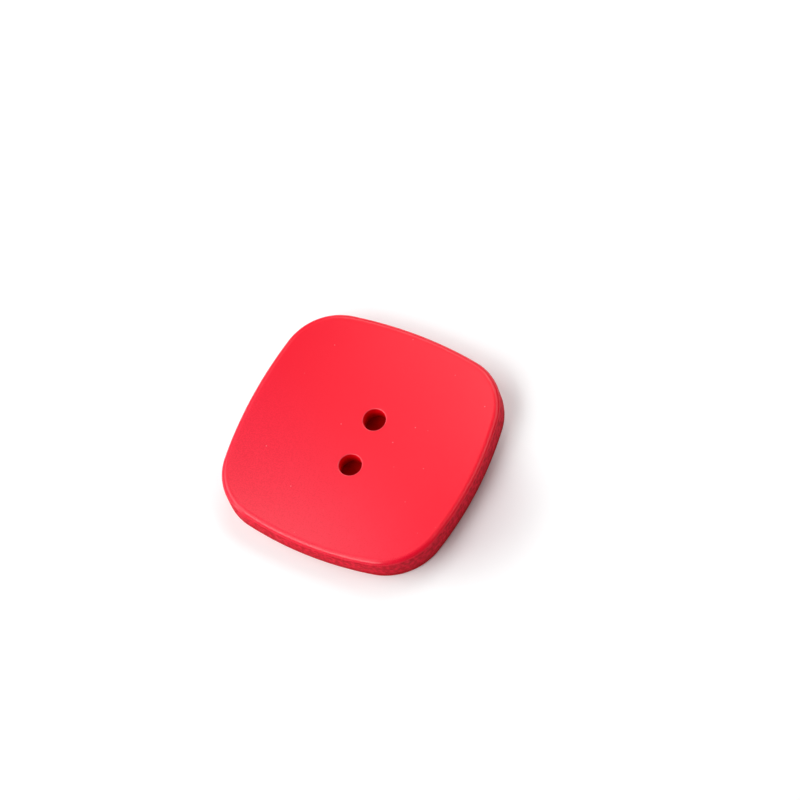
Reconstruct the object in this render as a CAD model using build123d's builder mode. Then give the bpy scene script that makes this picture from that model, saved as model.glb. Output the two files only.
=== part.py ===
"""Two-hole square button of cast resin, lying on its back with the face up.

Millimetres. The origin is the middle of the flat back, +Z points out of the face,
and the two thread holes stand in line along Y. The whole button is one casting.
"""

import os
from math import sqrt

from build123d import *

# Outline, as seen from the front
side = 25.0  # across two opposite sides, the size such a button is sold by
side_bow_radius = 37.8  # each side is a shallow arc that bows outwards
corner_radius = 6.1

# Thickness and the hollow of the face
rim_height = 2.6  # from the back to the top of the wall, at the middle of a side
dish_radius = 80.0  # the face is hollowed to a sphere, so the corners stand highest
cutting_allowance = 1.0  # the blank is taller than the rim by this before it is hollowed

# Rounded edges
rim_rounding = 0.6  # between the wall and the face
back_rounding = 0.28  # between the wall and the back
lip_rounding = 0.12  # both mouths of each thread hole

# Thread holes
hole_diameter = 2.3
hole_spacing = 5.3  # between the two centres

# Derived
half_side = side / 2
dish_centre_z = rim_height + sqrt(dish_radius**2 - half_side**2)

with BuildPart() as button:
    # Blank: large discs laid over each other leave the bowed sides, then the corners are rounded
    with BuildSketch() as outline:
        Circle(side_bow_radius)
        for disc_centre in PolarLocations(side_bow_radius - half_side, 4):
            with Locations(disc_centre):
                Circle(side_bow_radius, mode=Mode.INTERSECT)
        fillet(outline.vertices(), corner_radius)
    extrude(amount=rim_height + cutting_allowance)

    # Dished face, its sphere turned so that no pole of it lies on the face
    with Locations((0, 0, dish_centre_z)):
        Sphere(dish_radius, rotation=(90, 0, 0), mode=Mode.SUBTRACT)

    # Edge of the face and edge of the back
    face = button.faces().filter_by(GeomType.SPHERE)[0]
    fillet(face.outer_wire().edges(), rim_rounding)
    back = button.faces().sort_by(Axis.Z)[0]
    fillet(back.outer_wire().edges(), back_rounding)

    # Thread holes, with softened mouths
    with GridLocations(0, hole_spacing, 1, 2):
        Hole(hole_diameter / 2)
    bores = [wall for wall in button.faces().filter_by(GeomType.CYLINDER)
             if wall.radius < hole_diameter]
    mouths = ShapeList(bores).edges().filter_by(GeomType.LINE, reverse=True)
    fillet(mouths, lip_rounding)

button.part.label = "button"
os.makedirs("parts", exist_ok=True)
export_step(button.part, "parts/button.step")
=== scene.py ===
"""A two-hole square button of red resin, lying face up on a white table.

The button is meshed from the solid's own sizes, in millimetres, with exact normals, and it
replaces the solid. Everything else is the stage: table, lamps, camera.
"""

from math import atan2, cos, pi, radians, sin, sqrt, tan

import bpy
from mathutils import Matrix, Vector
from mathutils.geometry import delaunay_2d_cdt


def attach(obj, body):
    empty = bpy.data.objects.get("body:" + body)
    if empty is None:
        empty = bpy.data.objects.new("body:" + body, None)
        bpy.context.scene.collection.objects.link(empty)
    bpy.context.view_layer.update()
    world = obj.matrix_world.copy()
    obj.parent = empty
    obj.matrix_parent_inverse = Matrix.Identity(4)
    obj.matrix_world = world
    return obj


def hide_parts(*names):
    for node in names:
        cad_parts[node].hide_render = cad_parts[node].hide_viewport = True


MM = 0.001

# The solid's sizes
HALF_SIDE = 12.5
SIDE_BOW_RADIUS = 37.8
CORNER_RADIUS = 6.1
RIM_HEIGHT = 2.6
DISH_RADIUS = 80.0
RIM_ROUNDING = 0.6
BACK_ROUNDING = 0.28
LIP_ROUNDING = 0.12
HOLE_RADIUS = 1.15
MOUTH_RADIUS = HOLE_RADIUS + LIP_ROUNDING
HOLE_CENTRES = (Vector((0, -2.65, 0)), Vector((0, 2.65, 0)))
DISH_CENTRE = Vector((0, 0, RIM_HEIGHT + sqrt(DISH_RADIUS**2 - HALF_SIDE**2)))

# Steps of the mesh
SIDE_STEPS = 72
CORNER_STEPS = 40
HOLE_STEPS = 72
ARC_STEPS = 10
WALL_STEPS = 6
GRID_STEP = 0.45

UP = Vector((0, 0, 1))
WHITE = (1, 1, 1, 1)

# Reds of the resin
FACE = (0.97, 0.003, 0.025)
# Grain colours: real satin grain, and towards one corner of the face also painted sheen
GRAIN_DARK = (0.9, 0.004, 0.032)
GRAIN_LIGHT = (1.0, 0.012, 0.045)
DUST = (1.0, 0.2, 0.22)
WALL_DARK = (0.6, 0.0, 0.014)
WALL_LIGHT = (0.9, 0.012, 0.044)
# Painted shade at the foot of the wall
WALL_FOOT_SHADE = (0.5, 0.0, 0.004)
# Painted highlight on the lips of the thread holes
LIP_HIGHLIGHT = (1.0, 0.07, 0.1)
BORE_TOP = (1.0, 0.0, 0.01)
# Painted shade deep in the thread holes
BORE_DEEP_SHADE = (0.42, 0.0, 0.0)

# Table
TABLE_OPEN = (0.87, 0.87, 0.87)
# Painted shadow beside the button
TABLE_SHADED = (0.8, 0.74, 0.75)
# Painted shade on the table under the button
TABLE_COVERED_SHADE = (0.34, 0.002, 0.002)
TABLE_LIFT = 0.18
SHADOW_CENTRE = Vector((12, -2, 0))

# Lamps and camera, distances in millimetres and angles in degrees
LAMP_DISTANCE = 500
SURROUNDINGS_LEVEL = 0.02
CAMERA_LENS = 251.6
CAMERA_SENSOR = 36
CAMERA_AIM = Vector((0.766, 6.142, 0))
CAMERA_DISTANCE = 553.1
CAMERA_TURN = 47.11
CAMERA_TILT = 28.17
CAMERA_ROLL = -22.62


# Mesh of the button


class Skin:
    """Points with their normals, and the faces between them."""

    def __init__(self):
        self.points = []
        self.normals = []
        self.faces = []

    def add(self, point, normal):
        self.points.append(point)
        self.normals.append(normal)
        return len(self.points) - 1

    def add_face(self, corners):
        """A face wound so that it looks the way its normals point."""
        first, second, third = (self.points[corner] for corner in corners[:3])
        looks = (second - first).cross(third - first)
        if looks.dot(self.normals[corners[0]]) < 0:
            corners = corners[::-1]
        self.faces.append(corners)

    def sweep(self, columns):
        """Faces between neighbouring columns of (point, normal), closed round. Returns the end rings."""
        indices = [[self.add(*spot) for spot in column] for column in columns]
        for here, after in zip(indices, indices[1:] + indices[:1]):
            for row in range(len(here) - 1):
                self.add_face((here[row], after[row], after[row + 1], here[row + 1]))
        return [column[0] for column in indices], [column[-1] for column in indices]

    def fill(self, rings, spots, normal_at):
        """Triangles through the rings and the spots, with the mouths of the thread holes left open."""
        indices = [index for ring in rings for index in ring]
        flat = [self.points[index].xy for index in indices]
        edges = []
        start = 0
        for ring in rings:
            count = len(ring)
            edges += [(start + step, start + (step + 1) % count) for step in range(count)]
            start += count
        for spot in spots:
            indices.append(self.add(spot, normal_at(spot)))
            flat.append(spot.xy)
        _, _, triangles, sources, _, _ = delaunay_2d_cdt(flat, edges, [], 0, 1e-6)
        just_past_mouth = 1.01 * MOUTH_RADIUS
        for triangle in triangles:
            corners = tuple(indices[sources[corner][0]] for corner in triangle)
            middle = sum((self.points[corner] for corner in corners), Vector()) / 3
            if all((middle - hole).xy.length > just_past_mouth for hole in HOLE_CENTRES):
                self.add_face(corners)

    def build(self, name):
        data = bpy.data.meshes.new(name)
        data.from_pydata([point * MM for point in self.points], [], self.faces)
        data.shade_smooth()
        data.normals_split_custom_set_from_vertices(self.normals)
        piece = bpy.data.objects.new(name, data)
        bpy.context.scene.collection.objects.link(piece)
        return piece


def outline():
    """Points round the foot of the wall, each with its outward direction."""
    bow_centre = HALF_SIDE - SIDE_BOW_RADIUS
    reach = SIDE_BOW_RADIUS - CORNER_RADIUS
    corner_centre = (bow_centre + sqrt(2 * reach**2 - bow_centre**2)) / 2
    junction = atan2(corner_centre, corner_centre - bow_centre)
    corner_angle = pi / 2 - 2 * junction
    quarter = []
    for step in range(SIDE_STEPS):
        angle = junction * (2 * step / SIDE_STEPS - 1)
        quarter.append((Vector((bow_centre, 0, 0)), SIDE_BOW_RADIUS, angle))
    for step in range(CORNER_STEPS):
        angle = junction + corner_angle * step / CORNER_STEPS
        quarter.append((Vector((corner_centre, corner_centre, 0)), CORNER_RADIUS, angle))
    ring = []
    for quarter_turn in range(4):
        turn = Matrix.Rotation(quarter_turn * pi / 2, 3, "Z")
        for centre, radius, angle in quarter:
            outward = Vector((cos(angle), sin(angle), 0))
            ring.append((turn @ (centre + outward * radius), turn @ outward))
    return ring


def dish_spot(point):
    """The point of the dish above or below a point."""
    level = point.xy.length
    return Vector((point.x, point.y, DISH_CENTRE.z - sqrt(DISH_RADIUS**2 - level**2)))


def dish_normal(point):
    return (DISH_CENTRE - point).normalized()


def ball_under_dish(point, radius):
    """Centre of a ball over the point that touches the dish from inside the resin."""
    level = point.xy.length
    height = DISH_CENTRE.z - sqrt((DISH_RADIUS + radius)**2 - level**2)
    return Vector((point.x, point.y, height))


def rolled(centre, radius, start, end, steps=ARC_STEPS):
    """Points with normals over a ball, from one direction to another."""
    spots = []
    for step in range(steps + 1):
        normal = start.slerp(end, step / steps)
        spots.append((centre + normal * radius, normal))
    return spots


def straight(lower, upper, normal):
    """Points with normals between two points, both left out."""
    return [(lower.lerp(upper, step / WALL_STEPS), normal) for step in range(1, WALL_STEPS)]


def wall_column(point, outward):
    """From the edge of the back, up the wall, to the edge of the dish."""
    back_ball = point - outward * BACK_ROUNDING + UP * BACK_ROUNDING
    rim_ball = ball_under_dish(point - outward * RIM_ROUNDING, RIM_ROUNDING)
    foot = rolled(back_ball, BACK_ROUNDING, -UP, outward)
    head = rolled(rim_ball, RIM_ROUNDING, outward, dish_normal(rim_ball), steps=2 * ARC_STEPS)
    return foot + straight(foot[-1][0], head[0][0], outward) + head


def hole_column(hole, away):
    """From the edge of the dish, down through a thread hole, to the back."""
    mouth = hole + away * MOUTH_RADIUS
    top_ball = ball_under_dish(mouth, LIP_ROUNDING)
    head = rolled(top_ball, LIP_ROUNDING, dish_normal(top_ball), -away)
    foot = rolled(mouth + UP * LIP_ROUNDING, LIP_ROUNDING, -away, -UP)
    return head + straight(head[-1][0], foot[0][0], -away) + foot


def grid_spots(ring):
    """Points of a level grid that lie well inside the wall and clear of the holes."""
    clear_of_wall = RIM_ROUNDING + GRID_STEP
    clear_of_hole = MOUTH_RADIUS + GRID_STEP / 2
    count = int(HALF_SIDE / GRID_STEP) + 1
    spots = []
    for row in range(-count, count + 1):
        for column in range(-count, count + 1):
            spot = Vector((GRID_STEP * column, GRID_STEP * row, 0))
            in_wall = all((point - spot).dot(outward) > clear_of_wall for point, outward in ring)
            if in_wall and all((spot - hole).length > clear_of_hole for hole in HOLE_CENTRES):
                spots.append(spot)
    return spots


def button_mesh():
    skin = Skin()
    ring = outline()
    back_edge, dish_edge = skin.sweep([wall_column(*spot) for spot in ring])
    mouths = []
    backs = []
    for hole in HOLE_CENTRES:
        turns = [2 * pi * step / HOLE_STEPS for step in range(HOLE_STEPS)]
        columns = [hole_column(hole, Vector((cos(turn), sin(turn), 0))) for turn in turns]
        mouth, back = skin.sweep(columns)
        mouths.append(mouth)
        backs.append(back)
    spots = grid_spots(ring)
    skin.fill([dish_edge, *mouths], [dish_spot(spot) for spot in spots], dish_normal)
    skin.fill([back_edge, *backs], spots, lambda spot: -UP)
    return skin.build("button_body")


# Materials


class Nodes:
    """Short names for making and linking a material's nodes."""

    def __init__(self, name):
        self.material = bpy.data.materials.new(name)
        self.material.use_nodes = True
        self.tree = self.material.node_tree
        self.surface = self.tree.nodes["Principled BSDF"]

    def add(self, kind, **settings):
        node = self.tree.nodes.new("ShaderNode" + kind)
        for name, value in settings.items():
            setattr(node, name, value)
        return node

    def link(self, source, target):
        self.tree.links.new(source, target)

    def noise(self, place, scale, detail):
        node = self.add("TexNoise")
        node.inputs["Scale"].default_value = scale
        node.inputs["Detail"].default_value = detail
        self.link(place, node.inputs["Vector"])
        return node.outputs["Fac"]

    def ramp(self, source, low, high, to_low=0.0, to_high=1.0):
        """The source stretched from one range to another, with soft ends."""
        node = self.add("MapRange", interpolation_type="SMOOTHSTEP")
        limits = {"From Min": low, "From Max": high, "To Min": to_low, "To Max": to_high}
        for name, value in limits.items():
            node.inputs[name].default_value = value
        self.link(source, node.inputs["Value"])
        return node.outputs["Result"]

    def math(self, operation, first, second=None):
        """What an operation makes of a socket, alone or with another socket or a number."""
        node = self.add("Math", operation=operation)
        self.link(first, node.inputs[0])
        if isinstance(second, float):
            node.inputs[1].default_value = second
        elif second is not None:
            self.link(second, node.inputs[1])
        return node.outputs["Value"]

    def distance(self, place, point):
        """How far a place is from a fixed point."""
        node = self.add("VectorMath", operation="DISTANCE")
        self.link(place, node.inputs[0])
        node.inputs[1].default_value = point
        return node.outputs["Value"]

    def blend(self, factor, first, second):
        """A colour between two, each given as a colour or as a socket."""
        node = self.add("Mix", data_type="RGBA")
        self.link(factor, node.inputs["Factor"])
        for name, value in (("A", first), ("B", second)):
            socket = [entry for entry in node.inputs if entry.name == name and entry.type == "RGBA"][0]
            if isinstance(value, tuple):
                socket.default_value = (*value, 1)
            else:
                self.link(value, socket)
        return [entry for entry in node.outputs if entry.type == "RGBA"][0]


def resin():
    """Red resin: satin face, polished edges, frosted and mottled wall, red thread holes; with painted
    sheen towards one corner of the face, painted shade at the foot of the wall and deep in the holes,
    and painted highlights on the hole lips.
    """
    nodes = Nodes("resin")
    place = nodes.add("TexCoord").outputs["Object"]
    facing = nodes.add("SeparateXYZ")
    nodes.link(nodes.add("TexCoord").outputs["Normal"], facing.inputs["Vector"])
    facing_up = facing.outputs["Z"]
    levelness = nodes.math("ABSOLUTE", facing_up)
    frosted = nodes.ramp(levelness, 0.6, 0.25)
    rolled_edge = nodes.math("SUBTRACT", nodes.ramp(levelness, 0.97, 0.9), frosted)
    split = nodes.add("SeparateXYZ")
    nodes.link(place, split.inputs["Vector"])
    height = split.outputs["Z"]
    off_hole = hole_distance(nodes, split)

    # Face, with a satin grain that is strongest towards one corner, where its pinker tone also stands in
    # for the sheen the light lays there (painted sheen), and a little dust
    across = nodes.add("VectorMath", operation="DOT_PRODUCT")
    across.inputs[1].default_value = (0.4, 0.9, 0)
    nodes.link(place, across.inputs[0])
    grain_and_sheen_patch = nodes.ramp(across.outputs["Value"], 2 * MM, -9 * MM)
    grain = nodes.ramp(nodes.noise(place, scale=7500, detail=1), 0.3, 0.7)
    colour = nodes.blend(grain_and_sheen_patch, FACE, nodes.blend(grain, GRAIN_DARK, GRAIN_LIGHT))
    colour = nodes.blend(dust(nodes, place, facing_up), colour, DUST)

    # Wall, with painted shade darkening it towards its foot
    mottle = nodes.ramp(nodes.noise(place, scale=2400, detail=4), 0.32, 0.68)
    foot = nodes.ramp(height, 1.1 * MM, 0.1 * MM)
    wall = nodes.blend(foot, nodes.blend(mottle, WALL_DARK, WALL_LIGHT), WALL_FOOT_SHADE)
    colour = nodes.blend(frosted, colour, wall)

    # Thread holes, with painted shade darkening them with depth, and a painted highlight on their lips
    lip_highlight = nodes.ramp(off_hole, MOUTH_RADIUS * MM, (MOUTH_RADIUS - LIP_ROUNDING / 2) * MM)
    bore = nodes.ramp(off_hole, (HOLE_RADIUS + LIP_ROUNDING / 4) * MM, HOLE_RADIUS * MM)
    depth_shade = nodes.ramp(height, 1.5 * MM, 0.1 * MM)
    colour = nodes.blend(lip_highlight, colour, LIP_HIGHLIGHT)
    colour = nodes.blend(bore, colour, nodes.blend(depth_shade, BORE_TOP, BORE_DEEP_SHADE))
    nodes.link(colour, nodes.surface.inputs["Base Color"])

    # Sheen
    nodes.link(nodes.ramp(frosted, 0, 1, 0.34, 0.6), nodes.surface.inputs["Roughness"])
    gloss = nodes.ramp(rolled_edge, 0, 1, 0.5, 0.25)
    gloss = nodes.math("MULTIPLY", gloss, nodes.ramp(frosted, 0, 1, 1, 0.2))
    nodes.link(gloss, nodes.surface.inputs["Specular IOR Level"])
    nodes.link(nodes.ramp(rolled_edge, 0, 1, 0, 0.35), nodes.surface.inputs["Coat Weight"])
    nodes.surface.inputs["Coat Roughness"].default_value = 0.12
    bump = nodes.add("Bump")
    bump.inputs["Distance"].default_value = 0.02 * MM
    bump.inputs["Strength"].default_value = 0.4
    nodes.link(nodes.noise(place, scale=5000, detail=3), bump.inputs["Height"])
    nodes.link(bump.outputs["Normal"], nodes.surface.inputs["Normal"])
    nodes.surface.inputs["IOR"].default_value = 1.5
    return nodes.material


def hole_distance(nodes, split):
    """How far a point is from the middle line of the nearer thread hole."""
    along = nodes.math("SUBTRACT", nodes.math("ABSOLUTE", split.outputs["Y"]), HOLE_CENTRES[1].y * MM)
    level = nodes.add("CombineXYZ")
    nodes.link(split.outputs["X"], level.inputs["X"])
    nodes.link(along, level.inputs["Y"])
    reach = nodes.add("VectorMath", operation="LENGTH")
    nodes.link(level.outputs["Vector"], reach.inputs[0])
    return reach.outputs["Value"]


def dust(nodes, place, facing_up):
    """Over 0 on sparse specks of the face, and more on some than on others."""
    cells = nodes.add("TexVoronoi", voronoi_dimensions="2D")
    cells.inputs["Scale"].default_value = 700
    nodes.link(place, cells.inputs["Vector"])
    near = nodes.ramp(cells.outputs["Distance"], 0.055, 0.025)
    draw = nodes.add("SeparateColor")
    nodes.link(cells.outputs["Color"], draw.inputs["Color"])
    chosen = nodes.ramp(draw.outputs["Red"], 0.9, 1.0)
    on_face = nodes.ramp(facing_up, 0.9, 0.95)
    return nodes.math("MULTIPLY", nodes.math("MULTIPLY", near, chosen), on_face)


def table_top():
    """White table, with painted shade where the button covers it and a painted, tinted shadow beside the
    button.
    """
    nodes = Nodes("table_top")
    place = nodes.add("TexCoord").outputs["Object"]
    from_middle = nodes.distance(place, (0, 0, 0))
    from_shadow = nodes.distance(place, SHADOW_CENTRE * MM)
    # Painted shade, dark red, where the button covers the table
    outside_covered_shade = nodes.ramp(from_middle, 8 * MM, 10 * MM)
    # Painted shadow, grey-pink, beside the button
    unshaded = nodes.ramp(from_shadow, 3 * MM, 11 * MM)
    colour = nodes.blend(outside_covered_shade, TABLE_COVERED_SHADE, nodes.blend(unshaded, TABLE_SHADED, TABLE_OPEN))
    nodes.link(colour, nodes.surface.inputs["Base Color"])
    nodes.surface.inputs["Roughness"].default_value = 1.0
    nodes.surface.inputs["Specular IOR Level"].default_value = 0.0

    # The camera sees the open table lighter, so that it is white away from the button; the lift is held
    # back over the painted shade under the button and the painted shadow beside it
    seen = nodes.ramp(nodes.add("LightPath").outputs["Is Camera Ray"], 0, 1, 0, TABLE_LIFT)
    lift = nodes.math("MULTIPLY", seen, nodes.math("MULTIPLY", outside_covered_shade, unshaded))
    nodes.surface.inputs["Emission Color"].default_value = WHITE
    nodes.link(lift, nodes.surface.inputs["Emission Strength"])
    return nodes.material


# Stage


def table():
    bpy.ops.mesh.primitive_plane_add(size=4)
    plane = bpy.context.object
    plane.name = "table"
    plane.data.materials.append(table_top())


def softbox(name, azimuth, elevation, radiance, width=28):
    """A square lamp that faces the button and looks so many degrees wide from it.

    The azimuth is counted from +X to +Y. The radiance is what the button sees on the lamp.
    """
    turn = Matrix.Rotation(radians(azimuth), 3, "Z")
    direction = turn @ Vector((cos(radians(elevation)), 0, sin(radians(elevation))))
    data = bpy.data.lights.new(name, "AREA")
    data.shape = "SQUARE"
    data.size = 2 * LAMP_DISTANCE * MM * tan(radians(width) / 2)
    data.energy = radiance * pi * data.size**2
    lamp = bpy.data.objects.new(name, data)
    bpy.context.scene.collection.objects.link(lamp)
    lamp.location = direction * LAMP_DISTANCE * MM
    lamp.rotation_euler = direction.to_track_quat("Z", "Y").to_euler()


def lamps():
    """A ring of softboxes round the back, the left and the front. The right is dark."""
    softbox("back_right_softbox", azimuth=36, elevation=40, radiance=1.9)
    softbox("back_softbox", azimuth=72, elevation=40, radiance=1.9)
    softbox("back_left_softbox", azimuth=108, elevation=40, radiance=3.6)
    softbox("left_softbox", azimuth=180, elevation=40, radiance=3.2)
    softbox("front_left_softbox", azimuth=216, elevation=40, radiance=3.2)
    softbox("front_softbox", azimuth=252, elevation=40, radiance=5.2)
    softbox("low_softbox", azimuth=225, elevation=9, radiance=6.0, width=14)
    softbox("overhead_left_softbox", azimuth=205, elevation=64, radiance=1.5)
    softbox("overhead_back_softbox", azimuth=150, elevation=64, radiance=0.5)


def surroundings():
    """White to the camera, and an even grey to the button."""
    world = bpy.data.worlds.new("surroundings")
    world.use_nodes = True
    tree = world.node_tree
    seen = tree.nodes["Background"]
    seen.inputs["Color"].default_value = WHITE
    seen.inputs["Strength"].default_value = 1.0
    lit = tree.nodes.new("ShaderNodeBackground")
    lit.inputs["Color"].default_value = WHITE
    lit.inputs["Strength"].default_value = SURROUNDINGS_LEVEL
    mix = tree.nodes.new("ShaderNodeMixShader")
    tree.links.new(tree.nodes.new("ShaderNodeLightPath").outputs["Is Camera Ray"], mix.inputs["Fac"])
    tree.links.new(lit.outputs["Background"], mix.inputs[1])
    tree.links.new(seen.outputs["Background"], mix.inputs[2])
    tree.links.new(mix.outputs["Shader"], tree.nodes["World Output"].inputs["Surface"])
    bpy.context.scene.world = world


def camera():
    """High over the front right corner, looking down on the button at a slant."""
    data = bpy.data.cameras.new("camera")
    data.sensor_width = CAMERA_SENSOR
    data.lens = CAMERA_LENS
    data.clip_start = 0.01
    viewer = bpy.data.objects.new("camera", data)
    bpy.context.scene.collection.objects.link(viewer)
    aim = Matrix.Translation(CAMERA_AIM * MM)
    turn = Matrix.Rotation(radians(CAMERA_TURN), 4, "Z")
    tilt = Matrix.Rotation(radians(CAMERA_TILT), 4, "X")
    roll = Matrix.Rotation(radians(CAMERA_ROLL), 4, "Z")
    viewer.matrix_world = aim @ turn @ tilt @ roll @ Matrix.Translation(UP * CAMERA_DISTANCE * MM)
    bpy.context.scene.camera = viewer


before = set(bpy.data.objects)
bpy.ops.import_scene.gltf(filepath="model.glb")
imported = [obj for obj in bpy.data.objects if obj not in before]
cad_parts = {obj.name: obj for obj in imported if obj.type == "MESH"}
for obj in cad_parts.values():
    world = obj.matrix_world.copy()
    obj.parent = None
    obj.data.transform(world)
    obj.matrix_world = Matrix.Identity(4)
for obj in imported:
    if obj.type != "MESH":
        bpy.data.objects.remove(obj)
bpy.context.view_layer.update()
button = button_mesh()
button.data.materials.append(resin())
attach(button, "root")
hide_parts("button")
table()
surroundings()
lamps()
camera()
bpy.context.scene.view_settings.view_transform = "Standard"
